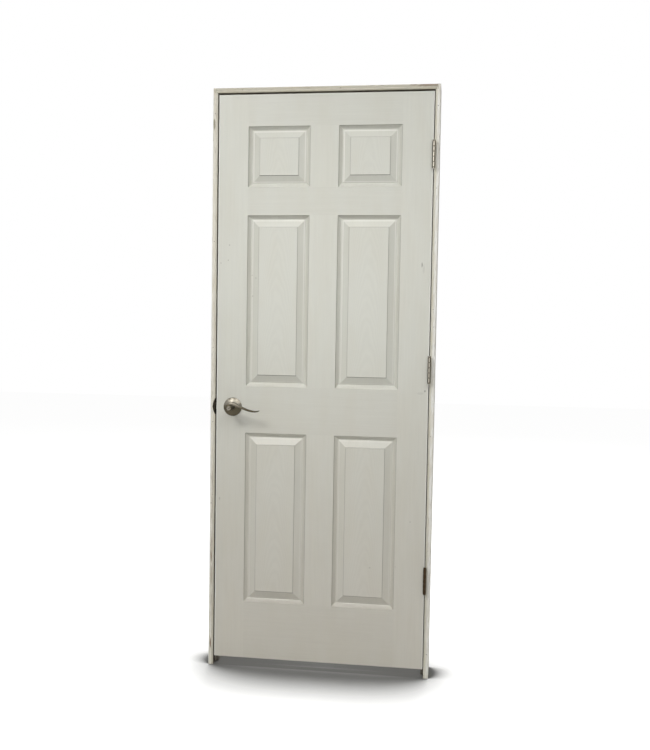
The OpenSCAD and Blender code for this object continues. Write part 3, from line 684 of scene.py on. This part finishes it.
def hinge_with_highlight(name, metal, low, high, shine):
    """Nickel plated butt hinge: dark film on the leaves and the barrel's sides, partly tarnish and partly painted dark
    reflection, and a painted highlight down the barrel's front, left out at the joints between its five knuckles."""
    made, tree, where = new_material(name)
    axes = put(tree, "ShaderNodeSeparateXYZ", {"Vector": where})
    off_pin = put(tree, "ShaderNodeMath", {0: axes["X"], 1: HINGE_PIN.x}, operation="SUBTRACT")[0]
    off_pin = put(tree, "ShaderNodeMath", {0: off_pin}, operation="ABSOLUTE")[0]
    # A painted highlight runs down the barrel's front, left out at the knuckles' joints.
    crown_highlight = band(tree, off_pin, -5 * MM, 1.5 * MM, 0.9 * MM)
    front = band(tree, axes["Y"], HINGE_PIN.y - 9 * MM, HINGE_PIN.y, 1.0 * MM)
    pitch = (high.z - low.z) / 5
    joint = put(tree, "ShaderNodeMath", {0: axes["Z"], 1: low.z}, operation="SUBTRACT")[0]
    joint = put(tree, "ShaderNodeMath", {0: joint, 1: pitch}, operation="PINGPONG")[0]
    open_part = band(tree, joint, 1.6 * MM, pitch - 1.6 * MM, 0.8 * MM)
    rubbed = put(tree, "ShaderNodeMath", {0: crown_highlight, 1: front}, operation="MULTIPLY")[0]
    rubbed = put(tree, "ShaderNodeMath", {0: rubbed, 1: open_part}, operation="MULTIPLY")[0]
    rubbed = put(tree, "ShaderNodeMath", {0: rubbed, 1: shine}, operation="MULTIPLY")[0]
    film = blotches(tree, where, (6, 6, 6), (0.0, 0.35), 0.95, 4.0)
    dull = put(tree, "ShaderNodeMix", {0: film, 6: tuple(metal.nickel), 7: tuple(metal.tarnish_and_dark_reflection)}, data_type="RGBA")[2]
    finish_material(
        tree,
        {
            "Base Color": put(
                tree, "ShaderNodeMix", {0: rubbed, 6: dull, 7: tuple(metal.bright)}, data_type="RGBA"
            )[2],
            "Metallic": 1.0,
            "Roughness": 0.33,
        },
    )
    return made


def dull_plate(name, tint, worn, rough):
    """Stamped steel with dulled plate: dark and matt, brighter where other parts have rubbed it."""
    made, tree, where = new_material(name)
    rubbed = blotches(tree, where, (5, 5, 7), (0.45, 0.75), 0.45, 4.0)
    pitted = blotches(tree, where, (1.5, 1.5, 1.5))
    finish_material(
        tree,
        {
            "Base Color": put(
                tree, "ShaderNodeMix", {0: rubbed, 6: tuple(tint), 7: tuple(worn)}, data_type="RGBA"
            )[2],
            "Metallic": 1.0,
            "Roughness": put(
                tree, "ShaderNodeMapRange", {"Value": pitted, "To Min": rough - 0.06, "To Max": rough + 0.1}
            )[0],
            "Normal": put(tree, "ShaderNodeBump", {"Height": pitted, "Distance": 0.03 * MM, "Strength": 0.5})[0],
        },
    )
    return made


def add_piece(name, mesh, material, body):
    """A mesh as a piece of the object, riding on a body."""
    made = bpy.data.objects.new(name, mesh)
    bpy.context.scene.collection.objects.link(made)
    mesh.materials.append(material)
    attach(made, body)
    return made


def mesh_of(name, verts, faces, smooth=True):
    mesh = bpy.data.meshes.new(name)
    mesh.from_pydata(verts, [], faces)
    mesh.validate()
    mesh.polygons.foreach_set("use_smooth", [smooth] * len(mesh.polygons))
    return mesh


def bead(points, widths, heights, side, out, segments=6):
    """A half-round bead along points: side is its sideways direction and out its outward one."""
    verts, faces = [], []
    for p, w, h in zip(points, widths, heights):
        for k in range(segments + 1):
            a = math.pi * k / segments
            verts.append(p + side * (math.cos(a) * w / 2) + out * (math.sin(a) * h))
    step = segments + 1
    for i in range(len(points) - 1):
        for k in range(segments):
            a = i * step + k
            faces.append((a, a + 1, a + 1 + step, a + step))
    return verts, faces


class DOOR_OT_paint_leaf(bpy.types.Operator):
    """Paints the leaf's facings and its edge strips"""

    bl_idname = "door.paint_leaf"
    bl_label = "Paint the leaf"

    def execute(self, context):
        paint, wear = context.scene.door_paint, context.scene.door_wear
        dress(leaf_paint(paint), FACINGS)
        dress(pine("painted_pine_edge", paint, 0.9), EDGE_STRIPS)
        dress(pine("bare_pine_block", paint, 0.0), ("lock_block",))
        round_edges(FACINGS, wear.edge)
        return {"FINISHED"}


class DOOR_OT_paint_frame(bpy.types.Operator):
    """Paints the jambs and stops"""

    bl_idname = "door.paint_frame"
    bl_label = "Paint the frame"

    def execute(self, context):
        paint, wear = context.scene.door_paint, context.scene.door_wear
        for node, aged, highlight_share, axis, inner, outer in (
            ("hinge_jamb", 0.0, 0.95, "X", HINGE_LOW.x, HINGE_HIGH.x),
            ("strike_jamb", 0.12, 0.15, "X", STRIKE_HIGH.x, STRIKE_LOW.x),
            ("head_jamb", 0.6, 0.1, "Z", HEAD_LOW.z, HEAD_HIGH.z),
        ):
            name = f"old_latex_paint_{node}"
            made = jamb_paint(name, paint, wear, aged, highlight_share, axis, inner, outer, *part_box(node))
            dress(made, (node,))
            round_edges((node,), wear.edge)
        dress(plain_paint("latex_paint_stop", paint.jamb, paint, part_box("head_stop")[0].y), STOPS)
        return {"FINISHED"}


class DOOR_OT_finish_metal(bpy.types.Operator):
    """Gives the lever set, hinges, latch and strike their metal finish"""

    bl_idname = "door.finish_metal"
    bl_label = "Finish the metal"

    def execute(self, context):
        metal = context.scene.door_metal
        axis = LEVER_AXIS.z
        # The rose and the levers turn dark low down as a painted dark reflection, and the levers also in a ring round
        # their axis.
        dress(satin_nickel("satin_nickel_rose", metal, 0.38, (axis - 6 * MM, axis + 18 * MM)), ROSES)
        ring = (8 * MM, 13 * MM)
        dress(satin_nickel("satin_nickel_lever", metal, 0.3, (axis - 6 * MM, axis + 30 * MM), ring), LEVERS)
        dress(satin_nickel("satin_nickel_button", metal, 0.25), ("privacy_button",))
        # The lowest hinge is painted dark as a painted reflection of the floor below it.
        bottom_hinge_dark = dull_plate("bottom_hinge_painted_dark_reflection", metal.bottom_hinge_dark, metal.tarnish_and_dark_reflection, 0.45)
        for hinge in HINGES:
            parts = [f"{hinge}_hinge_{part}" for part in ("frame_leaf", "door_leaf", "pin")]
            if hinge == "bottom":
                dress(bottom_hinge_dark, parts)
            else:
                # The middle hinge's painted highlight is weaker.
                shine = 1.0 if hinge == "top" else 0.75
                dress(hinge_with_highlight(f"nickel_with_painted_highlight_{hinge}_hinge", metal, *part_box(parts[1]), shine), parts)
        dress(dull_plate("dulled_strike_plate", metal.strike, metal.tarnish_and_dark_reflection, 0.42), ("strike_plate",))
        dress(dull_plate("plated_latch_steel", metal.steel, metal.nickel, 0.32), LATCH)
        return {"FINISHED"}


class DOOR_OT_add_old_paint(bpy.types.Operator):
    """Adds the paint ridges, the sealant lip and the filler lump that the removed casing left behind"""

    bl_idname = "door.add_old_paint"
    bl_label = "Add the old paint"

    def execute(self, context):
        wear, paint = context.scene.door_wear, context.scene.door_paint
        ridge = plain_paint("latex_paint_ridge", paint.cream, paint)
        sealant = plain_paint("white_sealant_lip", paint.clean, paint)
        top = HEAD_LOW.z + wear.reveal
        left, right = STRIKE_HIGH.x - wear.reveal, HINGE_LOW.x + wear.reveal
        lip = STRIKE_LOW.x + wear.lip_w
        foot = LEAF_LOW.z - 28 * MM
        across, up = Vector((1, 0, 0)), Vector((0, 0, 1))
        runs = (
            ("strike_paint_line", ridge, (left, foot), (left, top), across, wear.ridge_w),
            ("hinge_paint_line", ridge, (right, foot), (right, top), across, wear.ridge_w),
            ("head_paint_line", ridge, (left, top), (right, top), up, wear.ridge_w),
            ("sealant_lip", sealant, (lip, foot), (lip, CORNER.z + 1.87), across, wear.lip_w),
        )
        for n, (name, material, start, end, side, width) in enumerate(runs):
            start, end = [Vector((x, FRONT, z)) for x, z in (start, end)]
            count = int((end - start).length / (7 * MM))
            points, widths, heights = [], [], []
            for i in range(count + 1):
                p = start.lerp(end, i / count)
                sway = noise.noise(p * 22 + Vector((n * 7, 0, 0)))
                swell = noise.noise(p * 75 + Vector((0, n * 5, 0)))
                points.append(p + side * (sway * 0.35 * width) + Vector((0, 0.15 * MM, 0)))
                widths.append(width * (1 + 0.4 * swell))
                heights.append(wear.ridge_h * max(0.35, 1 + 1.1 * swell) + 0.15 * MM)
            verts, faces = bead(points, widths, heights, side, Vector((0, -1, 0)))
            add_piece(name, mesh_of(name, verts, faces), material, "frame")
        lump = filler_lump(Vector((STRIKE_LOW.x + 4.5 * MM, FRONT, CORNER.z + 1.93)), 3.6 * MM, 19 * MM, 3 * MM)
        filler = plain_paint("old_filler", paint.filler, paint)
        add_piece("filler_lump", mesh_of("filler_lump", *lump), filler, "frame")
        return {"FINISHED"}


def filler_lump(centre, half_w, half_h, proud, rings=10, sides=28):
    """A low ragged mound of old filler on the jamb's front edge."""
    verts, faces = [centre - Vector((0, proud, 0))], []
    for ring in range(1, rings + 1):
        out = ring / rings
        for k in range(sides):
            a = 2 * math.pi * k / sides
            spot = Vector((math.cos(a), 0, math.sin(a)))
            fray = 1 - 0.2 * abs(noise.noise(spot * 2.2 + Vector((3, 1, 4)))) * out
            rough = 1 + 0.3 * noise.noise(spot * out * 4 + Vector((9, 2, 6)))
            height = proud * math.sqrt(max(0.0, 1 - out**2)) * rough - 0.2 * MM
            verts.append(centre + Vector((spot.x * half_w * out * fray, -height, spot.z * half_h * out * fray)))
    faces += [(0, 1 + (k + 1) % sides, 1 + k) for k in range(sides)]
    for ring in range(rings - 1):
        near, far = 1 + ring * sides, 1 + (ring + 1) * sides
        faces += [(near + k, near + (k + 1) % sides, far + (k + 1) % sides, far + k) for k in range(sides)]
    return verts, faces


class DOOR_OT_add_screws(bpy.types.Operator):
    """Adds the countersunk screws of the hinges, the strike plate and the latch faceplate"""

    bl_idname = "door.add_screws"
    bl_label = "Add the screws"

    def execute(self, context):
        metal = context.scene.door_metal
        material = dull_plate("plated_screw_steel", metal.steel, metal.nickel, 0.3)
        for node, body, facing, spots in screw_places():
            verts, faces = [], []
            for spot in spots:
                more_verts, more_faces = screw_head(metal.screw_d, spot, facing)
                faces += [tuple(i + len(verts) for i in f) for f in more_faces]
                verts += more_verts
            name = f"{node}_screws"
            add_piece(name, mesh_of(name, verts, faces), material, body)
        return {"FINISHED"}


def screw_places():
    """Each plate's node, its body, the way its screws face, and their centres."""
    rows = []
    for hinge in HINGES:
        for part, body, facing in (("frame_leaf", "frame", -1), ("door_leaf", "leaf", 1)):
            node = f"{hinge}_hinge_{part}"
            low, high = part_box(node)
            face = HINGE_LOW.x if facing < 0 else LEAF_HIGH.x
            middle = (low.z + high.z) / 2
            spots = [
                Vector((face, high.y - back * MM, middle + lift * MM)) for lift, back in ((31, 12), (0, 8), (-31, 12))
            ]
            rows.append((node, body, Vector((facing, 0, 0)), spots))
    for node, body, facing, lift in (
        ("strike_plate", "frame", 1, 21),
        ("latch_faceplate", "leaf", -1, 21),
    ):
        low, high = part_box(node)
        x = high.x if facing > 0 else low.x
        middle = (low.z + high.z) / 2
        y = (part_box("latch_faceplate")[0].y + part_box("latch_faceplate")[1].y) / 2
        spots = [Vector((x, y, middle + k * lift * MM)) for k in (-1, 1)]
        rows.append((node, body, Vector((facing, 0, 0)), spots))
    return rows


def screw_head(diameter, centre, facing, sides=28):
    """A flat screw head with a cross recess, 0.12 mm proud of its plate."""
    r = diameter / 2
    arm, half = 0.62 * r, 0.13 * r
    proud, deep = 0.12 * MM, -0.9 * MM
    side = Vector((0, 1, 0))
    up = facing.cross(side)
    cross = [(arm, -half), (arm, half), (half, half), (half, arm), (-half, arm), (-half, half)]
    cross += [(-a, -b) for a, b in cross]
    outer = [(r * math.cos(2 * math.pi * k / sides), r * math.sin(2 * math.pi * k / sides)) for k in range(sides)]
    verts = [centre + side * a + up * b + facing * proud for a, b in outer]
    verts += [centre + side * a + up * b - facing * (0.2 * MM) for a, b in outer]
    verts += [centre + side * a + up * b + facing * proud for a, b in cross]
    verts += [centre + side * a + up * b + facing * deep for a, b in cross]
    faces = [(k, (k + 1) % sides, sides + (k + 1) % sides, sides + k) for k in range(sides)]
    top, floor = 2 * sides, 2 * sides + len(cross)
    faces += ring_faces(outer, cross, 0, top)
    faces += [
        (top + k, top + (k + 1) % len(cross), floor + (k + 1) % len(cross), floor + k) for k in range(len(cross))
    ]
    faces.append(tuple(floor + k for k in range(len(cross))))
    return verts, faces


def ring_faces(outer, inner, first_outer, first_inner):
    """Triangles between a round outline and a smaller one inside it, both going the same way round."""
    around = 2 * math.pi
    rings = [
        sorted((math.atan2(y, x) % around, first + k) for k, (x, y) in enumerate(outline))
        for outline, first in ((outer, first_outer), (inner, first_inner))
    ]
    steps = [0, 0]
    faces = []
    while any(step < len(ring) for step, ring in zip(steps, rings)):
        ahead = []
        for step, ring in zip(steps, rings):
            lap, spot = divmod(step + 1, len(ring))
            ahead.append(ring[spot][0] + lap * around if step < len(ring) else math.inf)
        here = [ring[step % len(ring)][1] for step, ring in zip(steps, rings)]
        turn = ahead.index(min(ahead))
        faces.append((*here, rings[turn][(steps[turn] + 1) % len(rings[turn])][1]))
        steps[turn] += 1
    return faces


class DOOR_OT_set_stage(bpy.types.Operator):
    """Adds the floor, the lamps, the even surrounding light and the camera"""

    bl_idname = "door.set_stage"
    bl_label = "Set the stage"

    def execute(self, context):
        stage = context.scene.door_stage
        add_floor(stage)
        add_world(stage)
        middle = (CAD_BOX[0] + CAD_BOX[1]) / 2
        high, low = middle + Vector((0, 0, 0.2)), middle - Vector((0, 0, 0.75))
        add_lamp("key_lamp", Vector((-1.9, -2.4, 3.2)), high, 0.9, 0.9, 80, stage.key_power)
        add_lamp("fill_lamp", Vector((0.9, -2.4, 3.2)), high, 0.9, 0.9, 80, stage.fill_power)
        add_lamp("top_lamp", Vector((-0.45, -1.75, 3.4)), low, 1.6, 1.0, 60, stage.top_power)
        add_lamp("front_lamp", Vector((-0.7, -3.7, 1.6)), middle, 2.8, 1.1, 180, stage.front_power)
        add_lamp("back_lamp", Vector((-0.4, 2.4, 4.2)), middle, 2.0, 2.0, 180, stage.back_power)
        add_camera(stage)
        return {"FINISHED"}


def add_floor(stage):
    """A wide floor that keeps the door's shadow, deepened by a painted shadow where ambient occlusion finds the door
    near, and runs up to white away from it in the picture.
    """
    half = stage.floor_size / 2
    corners = [(-half, -half, 0), (half, -half, 0), (half, half, 0), (-half, half, 0)]
    mesh = mesh_of("floor", [Vector(c) for c in corners], [(0, 1, 2, 3)], smooth=False)
    made, tree, _ = new_material("matt_pale_floor")
    # The floor's colour darkens towards the shadow colour, and its glow fades, where ambient occlusion finds the door
    # near: a painted shadow.
    open_sky = put(tree, "ShaderNodeAmbientOcclusion", {"Distance": stage.shadow_reach}, samples=48)["AO"]
    clear = put(tree, "ShaderNodeMapRange", {"Value": open_sky, "From Min": 0.61, "From Max": 1.0})[0]
    tint = put(
        tree, "ShaderNodeMix", {0: clear, 6: tuple(stage.shadow), 7: tuple(stage.floor)}, data_type="RGBA"
    )[2]
    matt, shaded = [put(tree, "ShaderNodeBsdfDiffuse", {"Color": c})[0] for c in (tuple(stage.floor), tint)]
    glow = put(tree, "ShaderNodeMath", {0: clear, 1: stage.floor_glow}, operation="MULTIPLY")[0]
    glow = put(tree, "ShaderNodeEmission", {"Color": (1, 1, 1, 1), "Strength": glow})[0]
    lit = put(tree, "ShaderNodeAddShader", {0: shaded, 1: glow})[0]
    shader = put(tree, "ShaderNodeMixShader", {0: seen_ray(tree), 1: matt, 2: lit})[0]
    put(tree, "ShaderNodeOutputMaterial", {"Surface": shader})
    floor = bpy.data.objects.new("floor", mesh)
    bpy.context.scene.collection.objects.link(floor)
    mesh.materials.append(made)


def seen_ray(tree):
    """1 for a ray that shows the background, in the picture, in a reflection or through glass."""
    path = put(tree, "ShaderNodeLightPath")
    shown = path["Is Camera Ray"]
    for kind in ("Is Glossy Ray", "Is Transmission Ray"):
        shown = put(tree, "ShaderNodeMath", {0: shown, 1: path[kind]}, operation="MAXIMUM")[0]
    return shown


def add_world(stage):
    """Even light from all round, and plain white where the picture or a reflection shows the room."""
    world = bpy.data.worlds.new("plain_white_room")
    world.use_nodes = True
    tree = world.node_tree
    tree.nodes.clear()
    even = put(tree, "ShaderNodeBackground", {"Color": (1, 1, 1, 1), "Strength": stage.ambient})[0]
    white = put(tree, "ShaderNodeBackground", {"Color": (1, 1, 1, 1), "Strength": 1.0})[0]
    shader = put(tree, "ShaderNodeMixShader", {0: seen_ray(tree), 1: even, 2: white})[0]
    put(tree, "ShaderNodeOutputWorld", {"Surface": shader})
    bpy.context.scene.world = world


def add_lamp(name, where, target, width, height, spread, power):
    """A large soft lamp aimed at a point, with the spread of its beam in degrees."""
    data = bpy.data.lights.new(name, "AREA")
    data.shape = "RECTANGLE"
    data.size, data.size_y = width, height
    data.spread = math.radians(spread)
    data.energy = power
    lamp = bpy.data.objects.new(name, data)
    lamp.location = where
    lamp.rotation_euler = (target - where).to_track_quat("-Z", "Y").to_euler()
    bpy.context.scene.collection.objects.link(lamp)


# The camera's place, from the lower lock corner of the leaf's face in metres, and its turn in degrees.
CAMERA_FROM_LEAF = Vector((0.8528, -3.239, 1.2165))
CAMERA_PAN, CAMERA_TILT, CAMERA_ROLL = 8.041, -3.047, 0.906


def add_camera(stage):
    """The photograph's viewpoint."""
    data = bpy.data.cameras.new("camera")
    data.lens = stage.lens
    data.sensor_width = 36
    camera = bpy.data.objects.new("camera", data)
    turn = (
        Matrix.Rotation(math.radians(CAMERA_PAN), 4, "Z")
        @ Matrix.Rotation(math.radians(90 + CAMERA_TILT), 4, "X")
        @ Matrix.Rotation(math.radians(CAMERA_ROLL), 4, "Z")
    )
    camera.matrix_world = Matrix.Translation(CORNER + CAMERA_FROM_LEAF) @ turn
    bpy.context.scene.collection.objects.link(camera)
    bpy.context.scene.camera = camera


class DOOR_PT_panel(bpy.types.Panel):
    """Lists the steps that dress the door"""

    bl_idname = "DOOR_PT_panel"
    bl_label = "Prehung door"
    bl_space_type = "VIEW_3D"
    bl_region_type = "UI"
    bl_category = "Door"

    def draw(self, context):
        for step in STEPS:
            self.layout.operator(step.bl_idname)
        for group in GROUPS:
            box = self.layout.box()
            for field in GROUPS[group].__annotations__:
                box.prop(getattr(context.scene, group), field)


GROUPS = {"door_paint": DoorPaint, "door_metal": DoorMetal, "door_wear": DoorWear, "door_stage": DoorStage}
STEPS = (
    DOOR_OT_set_stage,
    DOOR_OT_paint_leaf,
    DOOR_OT_paint_frame,
    DOOR_OT_finish_metal,
    DOOR_OT_add_old_paint,
    DOOR_OT_add_screws,
)


def register():
    for cls in (*GROUPS.values(), *STEPS, DOOR_PT_panel):
        bpy.utils.register_class(cls)
    for name, cls in GROUPS.items():
        setattr(bpy.types.Scene, name, bpy.props.PointerProperty(type=cls))


def unregister():
    for name in GROUPS:
        delattr(bpy.types.Scene, name)
    for cls in (DOOR_PT_panel, *reversed(STEPS), *reversed(list(GROUPS.values()))):
        bpy.utils.unregister_class(cls)


def run_step(step):
    """Runs a step's operator, and stops if it didn't finish."""
    area, name = step.bl_idname.split(".")
    if getattr(getattr(bpy.ops, area), name)() != {"FINISHED"}:
        raise RuntimeError(f"{step.bl_label} did not finish")


def main():
    register()
    bpy.context.scene.view_settings.view_transform = "Standard"
    for step in STEPS:
        run_step(step)


if __name__ == "__main__":
    main()
